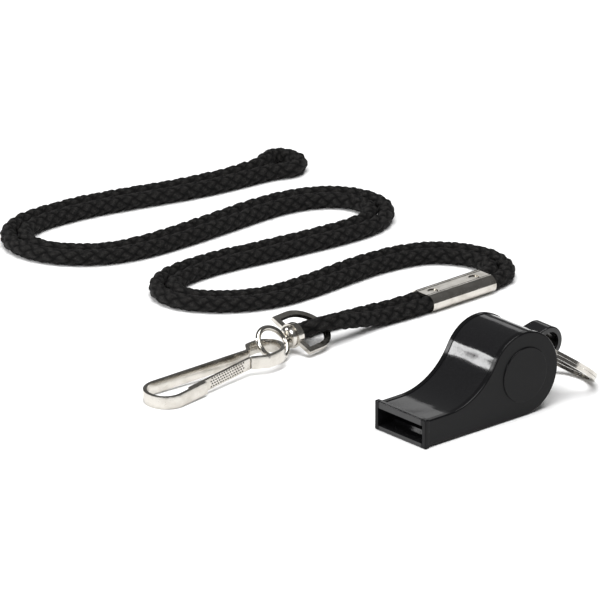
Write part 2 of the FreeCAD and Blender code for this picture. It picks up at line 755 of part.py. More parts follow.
def strip_outline(pieces, thick):
    """The closed edge of a strip of this thickness along a middle line."""
    half = thick / 2
    sides = {1: [], -1: []}
    for side in (1, -1):
        for piece in pieces:
            if piece[0] == "line":
                start, end = piece[1:]
                normal = Vector(0, 0, 1).cross((end - start).normalize()) * half * side
                if start.distanceToPoint(end) > 1e-6:
                    sides[side].append(Part.LineSegment(start + normal, end + normal))
                continue
            centre, radius, start, end, left = piece[1:]
            moved = radius - half * side * (1 if left else -1)
            angles = []
            for point in (start, end):
                spoke = point - centre
                angles.append(math.atan2(spoke.y, spoke.x))
            first, last = angles if left else angles[::-1]
            sides[side].append(arc(centre, moved, first, last))
    first, last = pieces[0], pieces[-1]
    start_normal = Vector(0, 0, 1).cross((first[2] - first[1]).normalize()) * half
    end_normal = Vector(0, 0, 1).cross((last[2] - last[1]).normalize()) * half
    caps = [Part.LineSegment(first[1] - start_normal, first[1] + start_normal),
            Part.LineSegment(last[2] - end_normal, last[2] + end_normal)]
    return sides[1] + sides[-1] + caps


def hook_placement():
    """The hook's far end lies on the surface and its eye is lifted by the wire loop."""
    lean = math.asin(size("eye_lift") / (size("hook_reach") + size("strip_thick") / 2))
    eye = Vector(size("hook_x"), size("hook_y"), size("eye_lift"))
    return Placement(eye, Rotation(Vector(0, 0, 1), size("hook_yaw"))
                     * Rotation(Vector(0, 1, 0), -math.degrees(lean)))


def gate_line():
    """Root and tip of the gate's middle line."""
    root = Vector(-size("gate_root_x"), -size("gate_root_y"))
    tip_x = -size("gate_tip_x")
    nose_tip = Vector(-size("nose_tip_x"), -size("nose_tip_y"))
    nose_corner = Vector(-size("hook_reach"), -size("nose_side"))
    share = (nose_tip.x - tip_x) / (nose_tip.x - nose_corner.x)
    nose_y = nose_tip.y + (nose_corner.y - nose_tip.y) * share
    clear = size("strip_thick") / 2 + size("gate_gap") + size("gate_thick") / 2
    return root, Vector(tip_x, nose_y + clear)


def make_hook():
    """One strip bent into nose, round end, back and eye, standing on its edge."""
    body = new_body("hook_strip")
    curl = size("curl_radius")
    root, _ = gate_line()
    shoulder = Vector(-0.7 * curl, -curl)
    stop = (shoulder - root).normalize() * (size("gate_thick") / 2 + size("gate_gap"))
    corners = [
        Vector(-size("nose_tip_x"), -size("nose_tip_y")),
        Vector(-size("hook_reach"), -size("nose_side")),
        Vector(-size("hook_reach"), size("hook_side")),
        Vector(-0.9 * curl, size("neck_side")),
        Vector(-0.45 * curl, curl),
        Vector(curl, curl),
        Vector(curl, -curl),
        shoulder,
        root + stop]
    radii = [5.4, 5.9, 1.3, 1.4, curl, curl, 1.2]
    sketch = sketch_on(body, "XY_Plane", "strip_plan")
    outline(sketch, strip_outline(rounded_run(corners, radii), size("strip_thick")))
    pad(body, sketch, "strip_high")
    body.Placement = hook_placement()
    return body


def make_gate():
    """The springy end of the strip, closed against the inside of the nose."""
    body = new_body("hook_gate")
    root, tip = gate_line()
    half = size("gate_thick") / 2
    along = (tip - root).normalize()
    across = Vector(-along.y, along.x) * half
    angle = math.atan2(along.y, along.x)
    sketch = sketch_on(body, "XY_Plane", "gate_plan", size("gate_rise"))
    outline(sketch, [
        Part.LineSegment(root + across, tip + across),
        Part.LineSegment(tip + across, tip - across),
        Part.LineSegment(tip - across, root - across),
        arc(root, half, angle + math.pi / 2, angle + 3 * math.pi / 2)])
    pad(body, sketch, "gate_high")
    body.Placement = hook_placement()
    return body


# ---------------------------------------------------------------- neck cord
CORD_Z = 2.3
BARREL_Z = 2.5

# the middle of the two strands, from the ferrule's mouth to the far fold
PAIR_ROUTE = [
    (94.5, 66.4), (101.0, 69.0), (104.6, 75.2), (104.2, 82.5), (100.5, 89.3),
    (94.5, 94.6), (86.5, 97.4), (76.0, 98.4), (63.0, 97.6), (50.0, 96.0),
    (39.5, 96.6), (31.5, 99.6), (25.2, 104.6), (21.0, 111.2), (20.8, 118.6),
    (25.4, 124.4), (33.5, 126.8), (45.0, 126.4), (60.0, 123.6), (74.0, 121.2),
    (86.5, 119.4), (95.6, 119.8), (102.4, 123.4), (105.2, 129.8), (103.6, 137.0),
    (98.4, 142.8), (90.5, 146.6), (79.0, 148.2), (65.0, 147.8), (50.0, 148.2),
    (37.0, 149.2), (27.5, 151.8), (20.3, 156.8), (15.6, 163.8), (14.4, 171.8),
    (17.6, 179.0), (24.6, 182.8), (34.5, 183.0), (46.0, 181.2), (58.0, 177.8),
    (70.0, 174.0), (82.5, 171.2), (93.0, 170.2)]

# the open fold at the far end, from the strand on the right to the one on the left
FAR_FOLD = [
    (102.4, 167.2, CORD_Z), (107.4, 164.1, CORD_Z), (112.4, 166.9, CORD_Z),
    (112.4, 172.7, CORD_Z), (107.4, 175.5, CORD_Z), (102.4, 172.4, CORD_Z)]

# from the ferrule's other mouth, under the bow's round, back over it and down again
BOW_FOLD = [
    (65.4, 68.8, BARREL_Z), (57.0, 69.7, CORD_Z), (47.5, 71.3, CORD_Z),
    (38.0, 72.7, CORD_Z), (30.4, 73.4, CORD_Z), (26.9, 71.4, 3.0),
    (26.4, 66.8, 5.7), (31.4, 64.1, 6.8), (40.4, 64.6, 4.6), (49.2, 65.5, 2.7),
    (57.6, 64.9, CORD_Z), (65.4, 64.2, BARREL_Z)]


def beside(route, gap):
    """The same run of corners, moved sideways by gap, to the left when positive."""
    moved = []
    points = [Vector(x, y, CORD_Z) for x, y in route]
    for number, point in enumerate(points):
        before = points[max(number - 1, 0)]
        after = points[min(number + 1, len(points) - 1)]
        arriving = (point - before) if number else (after - point)
        leaving = (after - point) if number < len(points) - 1 else arriving
        arriving.normalize()
        leaving.normalize()
        normal = Vector(0, 0, 1).cross(arriving + leaving).normalize()
        stretch = 1 / math.cos(arriving.getAngle(leaving) / 2)
        moved.append(point + normal * gap * stretch)
    return moved


def cord_corners():
    """Every corner of the cord, from one end in the ferrule round to the other."""
    gap = size("cord_pitch") / 2
    low_y = size("ferrule_y") - gap
    route = [Vector(size("ferrule_x") + 0.4, low_y, BARREL_Z)]
    route += beside(PAIR_ROUTE, -gap)
    route += [Vector(*point) for point in FAR_FOLD]
    route += beside(PAIR_ROUTE, gap)[::-1]
    route += [Vector(*point) for point in BOW_FOLD]
    route.append(Vector(size("ferrule_x") - 0.4, low_y, BARREL_Z))
    return route


def make_cord():
    """A round tube of straight runs joined by tangent arcs."""
    corners = cord_corners()
    share = 0.45
    edges = []
    radii = []
    at = corners[0]
    for number in range(1, len(corners) - 1):
        corner = corners[number]
        back = corners[number - 1] - corner
        ahead = corners[number + 1] - corner
        reach = share * min(back.Length, ahead.Length)
        back.normalize()
        ahead.normalize()
        half_turn = (math.pi - back.getAngle(ahead)) / 2
        radius = reach / math.tan(half_turn)
        radii.append(radius)
        start = corner + back * reach
        end = corner + ahead * reach
        bulge = radius / math.cos(half_turn) - radius
        middle = corner + (back + ahead).normalize() * bulge
        edges.append(Part.LineSegment(at, start).toShape())
        edges.append(Part.Arc(start, middle, end).toShape())
        at = end
    edges.append(Part.LineSegment(at, corners[-1]).toShape())
    path = Part.Wire(edges)
    heading = (corners[1] - corners[0]).normalize()
    section = Part.Wire(Part.Circle(corners[0], heading, size("cord_dia") / 2).toShape())
    tube = path.makePipeShell([section], True, False)
    cord = doc.addObject("Part::Feature", "neck_cord")
    cord.Label = "neck_cord"
    cord.Shape = tube
    expected = path.Length * math.pi * size("cord_dia") ** 2 / 4
    print("cord: length %.1f mm, volume %.1f against %.1f" %
          (path.Length, tube.Volume, expected))
    print("cord radii:", " ".join("%.1f" % radius for radius in radii))
    return cord


# ---------------------------------------------------------------- build everything
collar_start = -(size("eye_proud") + size("pin_fit"))
loop_x = (collar_start - size("collar_thick") - size("pin_fit")
          - size("wire_radius") - size("loop_radius"))
stem_start = loop_x + size("loop_radius")
head_start = size("bow_band") + size("eye_proud") + size("pin_fit")
write_cells(doc.addObject("Spreadsheet::Sheet", "Fits"), [
    ("lip_end", size("cover_thick") + size("lip_side"), "lip on a cover, across"),
    ("disc_round", size("disc_high") * 0.7, "rounding of the disc"),
    ("ferrule_bore", size("ferrule_tube") / 2 - size("ferrule_wall"), "tube's inside"),
    ("loop_x", loop_x, "wire loop's middle from the bow's bar"),
    ("stem_start", stem_start, "stem starts in the loop's wire"),
    ("stem_length", head_start - stem_start + size("head_thick") / 2, "stem"),
    ("head_start", head_start, "head sits inside the bow"),
    ("collar_start", collar_start, "collar's flat face"),
    ("eye_thick", size("bow_band") + 2 * size("eye_proud"), "bow's eye"),
    ("gate_rise", (size("strip_high") - size("gate_high")) / 2, "gate off the edge"),
])
doc.recompute()

parts = [
    make_band(),
    make_cover("right_cover", -1),
    make_cover("left_cover", 1),
    make_block(),
    make_pea(),
    make_split_ring(),
    make_ferrule(),
    make_bow(),
    make_loop(),
    make_collar(),
    make_hook(),
    make_gate(),
    make_cord(),
]
doc.recompute()

for thing in doc.Objects:
    if "Invalid" in thing.State or "Error" in thing.State:
        raise RuntimeError(f"{thing.Name} failed: {thing.State}")
for part in parts:
    if part.Shape.isNull() or not part.Shape.isValid() or not part.Shape.Solids:
        raise RuntimeError(f"{part.Label} has no valid solid")

os.makedirs("parts", exist_ok=True)
for part in parts:
    part.Shape.exportStep(f"parts/{part.Label}.step")
    box = part.Shape.BoundBox
    print("%-14s solids %d  volume %9.2f  x %.2f..%.2f  y %.2f..%.2f  z %.2f..%.2f" % (
        part.Label, len(part.Shape.Solids), part.Shape.Volume,
        box.XMin, box.XMax, box.YMin, box.YMax, box.ZMin, box.ZMax))
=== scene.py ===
# %% [markdown]
# # A training whistle and its neck cord
# A glossy black whistle lies on a table in front of its folded neck cord. The fixed frame holds every
# hard part at its true place and size. This lesson braids the cord, gives each part its finish, adds
# the fine grip on the hook's gate, and sets the studio.

import math

import bpy
import numpy as np
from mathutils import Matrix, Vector


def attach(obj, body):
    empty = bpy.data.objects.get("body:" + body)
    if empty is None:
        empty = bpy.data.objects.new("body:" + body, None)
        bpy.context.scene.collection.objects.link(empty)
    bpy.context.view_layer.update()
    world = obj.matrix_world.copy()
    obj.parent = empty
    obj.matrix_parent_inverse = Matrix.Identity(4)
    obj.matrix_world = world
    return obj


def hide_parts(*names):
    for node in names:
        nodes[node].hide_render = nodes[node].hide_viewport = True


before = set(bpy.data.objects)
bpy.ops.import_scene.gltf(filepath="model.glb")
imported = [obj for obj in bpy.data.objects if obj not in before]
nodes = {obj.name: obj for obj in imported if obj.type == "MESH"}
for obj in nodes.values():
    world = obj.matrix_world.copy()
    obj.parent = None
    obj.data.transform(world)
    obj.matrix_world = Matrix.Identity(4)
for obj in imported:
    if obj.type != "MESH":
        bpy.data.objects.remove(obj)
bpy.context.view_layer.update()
MM = 0.001


# %% [markdown]
# The camera comes first, because every choice after it is looked at through it. A very long lens from
# seven metres away keeps parallel edges nearly parallel, as a catalogue picture does. It looks down a
# little, across the whistle's nose.

# %% Camera
VIEW_TURN = math.radians(41.8)      # the look direction, turned from +Y towards +X
VIEW_DROP = math.radians(21.7)      # how far the look direction dips below the horizon
VIEW_AWAY = 7.0                     # from the aim to the camera
VIEW_WIDE = 0.1652                  # width of what the camera sees at the object
AIM = Vector((0.0472, 0.0944, 0.0))
SENSOR_WIDE = 36.0
NEAREST = 0.01
FARTHEST = 60.0

look = Vector((math.sin(VIEW_TURN) * math.cos(VIEW_DROP),
               math.cos(VIEW_TURN) * math.cos(VIEW_DROP),
               -math.sin(VIEW_DROP)))


def place_camera():
    lens = bpy.data.cameras.new("catalogue_lens")
    lens.sensor_width = SENSOR_WIDE
    lens.lens = SENSOR_WIDE * VIEW_AWAY / VIEW_WIDE
    lens.clip_start = NEAREST
    lens.clip_end = FARTHEST
    camera = bpy.data.objects.new("camera", lens)
    camera.location = AIM - look * VIEW_AWAY
    camera.rotation_euler = look.to_track_quat("-Z", "Y").to_euler()
    bpy.context.scene.collection.objects.link(camera)
    bpy.context.scene.camera = camera
    return camera


camera = place_camera()
print("camera at", [round(c, 3) for c in camera.location], "lens", round(camera.data.lens))


# %% [markdown]
# The cord is one limp round braid, laid double. It leaves the ferrule, runs beside itself along wide
# flat curves to an open fold at the far end, comes back on the other side, and passes through the
# swivel's bow as a short bight before it returns to the ferrule. The first list is the middle of the
# pair, in millimetres, and each strand lies half a pitch to one side of it. The other two lists are the
# open fold at the far end and the bight through the bow.

# %% The cord's route
CORD_Z = 2.3                    # height of the cord's middle where it lies flat, mm
CORD_GAP = 2.33                 # half the pitch of the two strands, mm
FERRULE_X = 79.0                # the ferrule's middle, mm
END_SHIFT = 0.4                 # how far each end stops from that middle, mm
TUBE_Y = 64.17                  # the ferrule's right tube, mm
TUBE_Z = 2.5

PAIR_ROUTE = [
    (94.3, 66.4), (99.6, 69.9), (102.2, 76.6), (101.2, 83.2), (97.8, 89.0), (92.8, 93.8),
    (85.3, 96.3), (75.2, 97.6), (63.0, 97.2), (50.3, 96.3), (39.8, 97.0), (31.5, 100.2),
    (24.5, 105.5), (19.9, 112.0), (19.7, 119.4), (24.6, 125.0), (33.3, 127.0), (45.2, 126.7),
    (60.2, 123.9), (74.4, 121.7), (87.0, 120.0), (96.2, 120.2), (103.0, 123.4), (106.7, 129.8),
    (105.6, 137.6), (100.2, 144.0), (91.6, 147.8), (79.8, 149.0), (65.5, 148.3), (50.0, 148.1),
    (36.6, 148.8), (26.9, 151.5), (19.5, 156.9), (14.6, 164.2), (13.6, 172.4), (17.2, 179.6),
    (24.8, 183.6), (35.2, 183.8), (46.9, 182.2), (59.0, 178.9), (71.0, 175.1), (83.3, 172.2),
    (93.6, 170.9),
]
FAR_FOLD = [
    (102.8, 167.4), (107.8, 164.4), (113.0, 167.2), (113.6, 173.8), (109.4, 177.0), (103.8, 173.4),
]
BOW_FOLD = [
    (65.4, 68.8, 2.5), (57.0, 69.7, 2.3), (47.5, 71.3, 2.3), (38.0, 72.7, 2.3), (30.4, 73.4, 2.3),
    (26.9, 71.4, 3.0), (26.4, 66.8, 5.7), (31.4, 64.1, 6.8), (40.4, 64.6, 4.6), (49.2, 65.5, 2.7),
    (57.6, 64.9, 2.3), (65.4, 64.2, 2.5),
]


def beside(route, offset):
    """The route moved to its left by offset, with each corner's point on both moved runs."""
    points = [Vector(point) for point in route]
    moved = []
    for place, point in enumerate(points):
        before = (point - points[place - 1]).normalized() if place else None
        after = (points[place + 1] - point).normalized() if place + 1 < len(points) else None
        before, after = before or after, after or before
        along = (before + after).normalized()
        stretch = offset / along.dot(before)
        moved.append((point.x - along.y * stretch, point.y + along.x * stretch, CORD_Z))
    return moved


ROUTE = [(FERRULE_X + END_SHIFT, TUBE_Y, TUBE_Z)]
ROUTE += beside(PAIR_ROUTE, -CORD_GAP)
ROUTE += [(x, y, CORD_Z) for x, y in FAR_FOLD]
ROUTE += beside(PAIR_ROUTE, CORD_GAP)[::-1]
ROUTE += BOW_FOLD
ROUTE += [(FERRULE_X - END_SHIFT, TUBE_Y, TUBE_Z)]
print("cord route:", len(ROUTE), "points")


# %% [markdown]
# A braid is a surface of stitches, not a smooth tube. One NURBS line takes the route's points as its
# control points, so it bends as yarn does, with no corners. The tube's rings then follow that line.

# %% The cord's line
RING_STEP = 0.33 * MM
LINE_PARTS = 32                 # straight parts between two points of the spline


def cord_line():
    line = bpy.data.curves.new("cord_line", "CURVE")
    line.dimensions = "3D"
    line.resolution_u = LINE_PARTS
    spline = line.splines.new("NURBS")
    spline.points.add(len(ROUTE) - 1)
    for point, place in zip(spline.points, ROUTE):
        point.co = (*[c * MM for c in place], 1.0)
    spline.order_u = 3
    spline.use_endpoint_u = True
    holder = bpy.data.objects.new("cord_line", line)
    bpy.context.scene.collection.objects.link(holder)
    bpy.context.view_layer.update()
    mesh = bpy.data.meshes.new_from_object(holder)
    points = np.array([v.co for v in mesh.vertices])
    bpy.data.meshes.remove(mesh)
    bpy.data.objects.remove(holder)
    return points


def even_steps(points, step):
    """The same line, read at even steps along it, and the distance run at each."""
    runs = np.linalg.norm(np.diff(points, axis=0), axis=1)
    run = np.concatenate([[0.0], np.cumsum(runs)])
    count = int(round(run[-1] / step))
    at = np.linspace(0.0, run[-1], count + 1)
    return np.column_stack([np.interp(at, run, points[:, axis]) for axis in range(3)]), at


centre, run = even_steps(cord_line(), RING_STEP)


# %% [markdown]
# Eight yarns wind round the core, four to the left and four to the right, and each passes over one and
# under the next. Where a yarn is on top it swells into a lump that leans its own way, and two leaning
# lumps side by side read as a chevron. Heights from a formula give this with one closed skin, where
# real yarns as separate tubes would be far heavier.

# %% The braid's stitches
YARNS = 4                       # yarns that wind each way
BRAID_TURN = 17.2 * MM          # length in which a yarn goes once round
AROUND = 32                     # faces round the cord
CORE = 1.86 * MM                # radius in the valleys between yarns
SWELL = 0.50 * MM               # how far a lump stands above them
UNEVEN = 0.16                   # share by which lumps differ in height
FRAY = 0.035 * MM               # how rough the yarn's skin is
PULLED_IN = 0.03 * MM           # how far the whole skin is drawn towards the core
YARN_FULL = 1.96                # how much of its width a yarn's round back takes
EDGE_RISE = 0.12                # share of the swell that is left where a yarn dives under
LONG_WAVE = (0.05, 7.3 * MM)    # share and length of the slow change in thickness
SHORT_WAVE = (0.04, 3.1 * MM)   # and of the quick one


def lump_chance(right, left):
    """A number from -1 to 1 that looks random but is always the same for the same two yarns."""
    mixed = np.sin(12.9898 * right + 78.233 * left) * 43758.5453
    return 2.0 * (mixed - np.floor(mixed)) - 1.0


def stitch_height(turn, length):
    """How high the braid stands at this share of a turn and this length, from 0 to 1."""
    right = YARNS * (turn - length / BRAID_TURN)
    left = YARNS * (turn + length / BRAID_TURN)
    across_right = right - np.floor(right) - 0.5
    across_left = left - np.floor(left) - 0.5
    right_on_top = (np.floor(right) + np.floor(left)) % 2 == 0
    across = np.where(right_on_top, across_right, across_left)
    along = np.where(right_on_top, across_left, across_right)
    crown = np.sqrt(np.clip(1.0 - (YARN_FULL * across) ** 2, 0.0, 1.0))
    rise = 0.5 + 0.5 * np.cos(2.0 * np.pi * along)
    lump = lump_chance(np.floor(right), np.floor(left))
    return crown * (EDGE_RISE + (1.0 - EDGE_RISE) * rise ** 0.7) * (1.0 + UNEVEN * lump)


def ring_directions(line):
    """Two directions square to the line at each ring, carried along it without twist."""
    along = np.gradient(line, axis=0)
    along /= np.linalg.norm(along, axis=1)[:, None]
    side = np.cross(along[0], (0.0, 0.0, 1.0))
    sides = []
    for step in along:
        side = side - step * np.dot(side, step)
        side = side / np.linalg.norm(side)
        sides.append(side)
    sides = np.array(sides)
    return sides, np.cross(sides, along)


def braid_skin():
    sides, ups = ring_directions(centre)
    turn = np.arange(AROUND) / AROUND
    height = stitch_height(turn[None, :], run[:, None])
    slack = (1.0 + LONG_WAVE[0] * np.sin(run / LONG_WAVE[1])
             + SHORT_WAVE[0] * np.sin(run / SHORT_WAVE[1] + 1.0))
    fray = np.random.default_rng(7).normal(0.0, FRAY, height.shape)
    radius = CORE - PULLED_IN + SWELL * height * slack[:, None] + fray
    angle = 2.0 * np.pi * turn
    out = (sides[:, None, :] * np.cos(angle)[None, :, None]
           + ups[:, None, :] * np.sin(angle)[None, :, None])
    return centre[:, None, :] + out * radius[:, :, None]


def braid_faces(rings):
    ring, place = np.meshgrid(np.arange(rings - 1), np.arange(AROUND), indexing="ij")
    following = (place + 1) % AROUND
    return np.stack([ring * AROUND + place, ring * AROUND + following,
                     (ring + 1) * AROUND + following, (ring + 1) * AROUND + place],
                    axis=-1).reshape(-1, 4)


def make_cord():
    skin = braid_skin()
    rings = len(skin)
    faces = [tuple(int(c) for c in face) for face in braid_faces(rings)]
    ends = [tuple(range(AROUND))[::-1], tuple(range((rings - 1) * AROUND, rings * AROUND))]
    mesh = bpy.data.meshes.new("braided_cord")
    mesh.from_pydata([tuple(p) for p in skin.reshape(-1, 3)], [], faces + ends)
    layer = mesh.uv_layers.new(name="braid")
    ring, place = np.meshgrid(np.arange(rings - 1), np.arange(AROUND), indexing="ij")
    u = np.stack([place, place + 1, place + 1, place], axis=-1).reshape(-1) / AROUND
    length = run / BRAID_TURN
    v = np.stack([length[ring], length[ring], length[ring + 1], length[ring + 1]], axis=-1)
    uv = np.zeros((len(mesh.loops), 2))
    uv[:len(u), 0] = u
    uv[:len(u), 1] = v.reshape(-1)
    layer.data.foreach_set("uv", uv.ravel())
    mesh.update()
    cord = bpy.data.objects.new("braided_cord", mesh)
    bpy.context.scene.collection.objects.link(cord)
    for face in mesh.polygons:
        face.use_smooth = len(face.vertices) == 4
    return cord


braided_cord = make_cord()
print("braid:", len(braided_cord.data.polygons), "faces")


# %% [markdown]
# A finish is built from a few nodes: a base colour, a pattern that breaks it up, a roughness that
# varies over the surface and a fine bump. These small helpers keep each finish short to read.

# %% Helpers for finishes
def new_finish(name):
    material = bpy.data.materials.new(name)
    material.use_nodes = True
    tree = material.node_tree
    return material, tree, tree.nodes["Principled BSDF"]


def add(tree, kind, settings=None, **inputs):
    """A node with its settings, and with its named inputs set to values or linked to sockets."""
    node = tree.nodes.new(kind)
    for key, value in (settings or {}).items():
        setattr(node, key, value)
    for key, value in inputs.items():
        numbered = key[0] == "i" and key[1:].isdigit()
        socket = node.inputs[int(key[1:]) if numbered else key.replace("_", " ")]
        if isinstance(value, bpy.types.NodeSocket):
            tree.links.new(value, socket)
        else:
            socket.default_value = value
    return node


def maths(tree, operation, first, second=0.0, third=0.0):
    return add(tree, "ShaderNodeMath", {"operation": operation},
               i0=first, i1=second, i2=third).outputs[0]


def spread(tree, value, low, high, from_low=0.0, from_high=1.0):
    """The value taken from one range to another."""
    return add(tree, "ShaderNodeMapRange", None, i0=value, i1=from_low, i2=from_high, i3=low,
               i4=high).outputs[0]


def noise(tree, place, scale, detail):
    return add(tree, "ShaderNodeTexNoise", None, Vector=place, Scale=scale,
               Detail=detail).outputs["Fac"]


def stretched(tree, place, scale):
    """The place with each axis scaled, so that a pattern is drawn out along one."""
    return add(tree, "ShaderNodeMapping", None, Vector=place, Scale=scale).outputs[0]


def blend_colours(tree, share, first, second):
    node = add(tree, "ShaderNodeMix", {"data_type": "RGBA"})
    tree.links.new(share, node.inputs[0])
    node.inputs[6].default_value = (*first, 1.0)
    node.inputs[7].default_value = (*second, 1.0)
    return node.outputs[2]


def bump(tree, shader, height, distance, strength=1.0):
    node = add(tree, "ShaderNodeBump", None, Height=height, Distance=distance, Strength=strength)
    tree.links.new(node.outputs[0], shader.inputs["Normal"])


def own_place(tree):
    return add(tree, "ShaderNodeTexCoord").outputs["Object"]


def wear(node_names, finish):
    for name in node_names:
        part = nodes[name]
        part.data.materials.clear()
        part.data.materials.append(finish)
        print(name, "wears", finish.name)


# %% [markdown]
# The shell is a hard black plastic from a polished mould, so its curved top mirrors the lights. Real
# mouldings are never perfect mirrors: a slow ripple from cooling bends the reflection a little and
# faint hairlines from handling soften it.

# %% Polished shell
def polished_black():
    finish, tree, shader = new_finish("polished_black")
    place = own_place(tree)
    ripple = noise(tree, place, 90.0, 1.0)
    hairs = noise(tree, stretched(tree, place, (300.0, 2600.0, 2600.0)), 1.0, 2.0)
    dust = noise(tree, place, 1400.0, 4.0)
    tree.links.new(blend_colours(tree, dust, (0.0060, 0.0060, 0.0066), (0.0105, 0.0105, 0.0112)),
                   shader.inputs["Base Color"])
    gloss = maths(tree, "ADD", spread(tree, hairs, 0.05, 0.13, 0.35, 0.75),
                  spread(tree, dust, 0.0, 0.05, 0.4, 0.7))
    tree.links.new(gloss, shader.inputs["Roughness"])
    shader.inputs["Specular IOR Level"].default_value = 0.5
    bump(tree, shader, maths(tree, "ADD", ripple, maths(tree, "MULTIPLY", hairs, 0.01)), 0.00045, 0.6)
    return finish


wear(["body_band"], polished_black())


# %% [markdown]
# The two covers come from a mould with a fine spark texture on its flats, and their rolled rims are
# polished. The surface's own direction tells flats from rims: a flat faces straight sideways.

# %% Satin covers
def satin_black():
    finish, tree, shader = new_finish("satin_black")
    place = own_place(tree)
    facing = add(tree, "ShaderNodeSeparateXYZ", None,
                 i0=add(tree, "ShaderNodeNewGeometry").outputs["True Normal"]).outputs[1]
    flat = spread(tree, maths(tree, "ABSOLUTE", facing), 0.0, 1.0, 0.93, 0.999)
    grain = noise(tree, place, 3200.0, 4.0)
    cloud = noise(tree, place, 70.0, 2.0)
    tree.links.new(blend_colours(tree, cloud, (0.0050, 0.0050, 0.0054), (0.0080, 0.0080, 0.0085)),
                   shader.inputs["Base Color"])
    rough = maths(tree, "ADD", spread(tree, flat, 0.12, 0.40), spread(tree, cloud, -0.03, 0.04))
    tree.links.new(rough, shader.inputs["Roughness"])
    shader.inputs["Specular IOR Level"].default_value = 0.13
    bump(tree, shader, maths(tree, "MULTIPLY", grain, flat), 0.00004, 0.6)
    return finish


wear(["right_cover", "left_cover"], satin_black())


# %% [markdown]
# The windway block sits inside the duct. It is the same plastic straight from a plain mould: matt, with
# the faint milling lines of the mould's core.

# %% Matt insert
def matt_black():
    finish, tree, shader = new_finish("matt_black")
    place = own_place(tree)
    lines = noise(tree, stretched(tree, place, (200.0, 6000.0, 2000.0)), 1.0, 2.0)
    tree.links.new(blend_colours(tree, lines, (0.010, 0.010, 0.010), (0.022, 0.022, 0.022)),
                   shader.inputs["Base Color"])
    tree.links.new(spread(tree, lines, 0.5, 0.7), shader.inputs["Roughness"])
    shader.inputs["Specular IOR Level"].default_value = 0.15
    bump(tree, shader, lines, 0.00005)
    return finish


wear(["windway_block"], matt_black())


# %% [markdown]
# The pea is natural cork: pale tan cells with darker pores and a few brown streaks.

# %% Cork pea
def natural_cork():
    finish, tree, shader = new_finish("natural_cork")
    place = own_place(tree)
    cells = add(tree, "ShaderNodeTexVoronoi", None, Vector=place, Scale=1600.0).outputs["Distance"]
    pores = spread(tree, noise(tree, place, 520.0, 5.0), 0.0, 1.0, 0.56, 0.64)
    shade = maths(tree, "MAXIMUM", pores, spread(tree, cells, 0.35, 0.0))
    tree.links.new(blend_colours(tree, shade, (0.56, 0.37, 0.21), (0.20, 0.10, 0.045)),
                   shader.inputs["Base Color"])
    tree.links.new(spread(tree, cells, 0.7, 0.9), shader.inputs["Roughness"])
    bump(tree, shader, maths(tree, "SUBTRACT", cells, pores), 0.00012)
    return finish


wear(["cork_pea"], natural_cork())


# %% [markdown]
# All the metal is nickel plate: a warm grey mirror with a soft haze. What differs is how the metal
# under it was worked. Castings keep a slightly uneven skin, drawn wire and rolled strip keep fine lines
# along their length.

# %% Nickel plate
NICKEL_LIGHT = (0.62, 0.595, 0.55)
NICKEL_DARK = (0.47, 0.445, 0.40)


def nickel(name, stretch, line_depth, rough_low, rough_high, lump_depth, crowned=False):
    """Nickel plate over worked metal; crowned adds the barrel shape that rolling gives the strip."""
    finish, tree, shader = new_finish(name)
    place = own_place(tree)
    lines = noise(tree, stretched(tree, place, stretch), 1.0, 3.0)
    lumps = noise(tree, place, 260.0, 2.0)
    dulled = spread(tree, lumps, 0.0, 1.0, 0.42, 0.72)
    tree.links.new(blend_colours(tree, dulled, NICKEL_LIGHT, NICKEL_DARK), shader.inputs["Base Color"])
    shader.inputs["Metallic"].default_value = 1.0
    tree.links.new(spread(tree, lines, rough_low, rough_high, 0.3, 0.7),
                   shader.inputs["Roughness"])
    height = maths(tree, "ADD", maths(tree, "MULTIPLY", lines, line_depth * MM),
                   maths(tree, "MULTIPLY", lumps, lump_depth * MM))
    if crowned:
        height = maths(tree, "SUBTRACT", height, strip_crown(tree, place))
    bump(tree, shader, height, 1.0)
    return finish


STRIP_HIGH = 3.5 * MM
STRIP_RISE = 2.1 / 43.65        # the strip climbs from the nose to the eye
STRIP_NOSE = -35.4 * MM         # where along X the hook's nose is
CROWN_RADIUS = 7.0 * MM         # how strongly the strip's face is rounded


def strip_crown(tree, place):
    """How far the strip's face falls away above and below its middle line."""
    split = add(tree, "ShaderNodeSeparateXYZ", None, i0=place)
    middle = maths(tree, "MULTIPLY_ADD", split.outputs[0], STRIP_RISE,
                   STRIP_HIGH / 2 - STRIP_NOSE * STRIP_RISE)
    off_middle = maths(tree, "SUBTRACT", split.outputs[2], middle)
    return maths(tree, "DIVIDE", maths(tree, "MULTIPLY", off_middle, off_middle), 2 * CROWN_RADIUS)


cast_nickel = nickel("cast_nickel", (900.0, 900.0, 900.0), 0.004, 0.10, 0.24, 0.10)
wire_nickel = nickel("wire_nickel", (700.0, 700.0, 3000.0), 0.004, 0.08, 0.20, 0.03)
strip_nickel = nickel("strip_nickel", (160.0, 3200.0, 3200.0), 0.006, 0.16, 0.28, 0.03, crowned=True)
sheet_nickel = nickel("sheet_nickel", (140.0, 2600.0, 2600.0), 0.006, 0.10, 0.20, 0.05)
wear(["swivel_bow", "swivel_collar"], cast_nickel)
wear(["swivel_loop", "split_ring"], wire_nickel)
wear(["hook_strip", "hook_gate"], strip_nickel)
wear(["ferrule"], sheet_nickel)


# %% [markdown]
# The cord's yarn is black polyester. The pattern follows the braid's own map: one direction runs round
# the cord and the other along it, so each lump shows fine filaments that run its own way. The colour
# is painted lighter on each yarn's crown, a painted highlight where light would catch it, and darker in
# the valleys between yarns, a painted shade.

# %% Braided yarn
FILAMENTS = 7.0                 # fine threads seen across one yarn


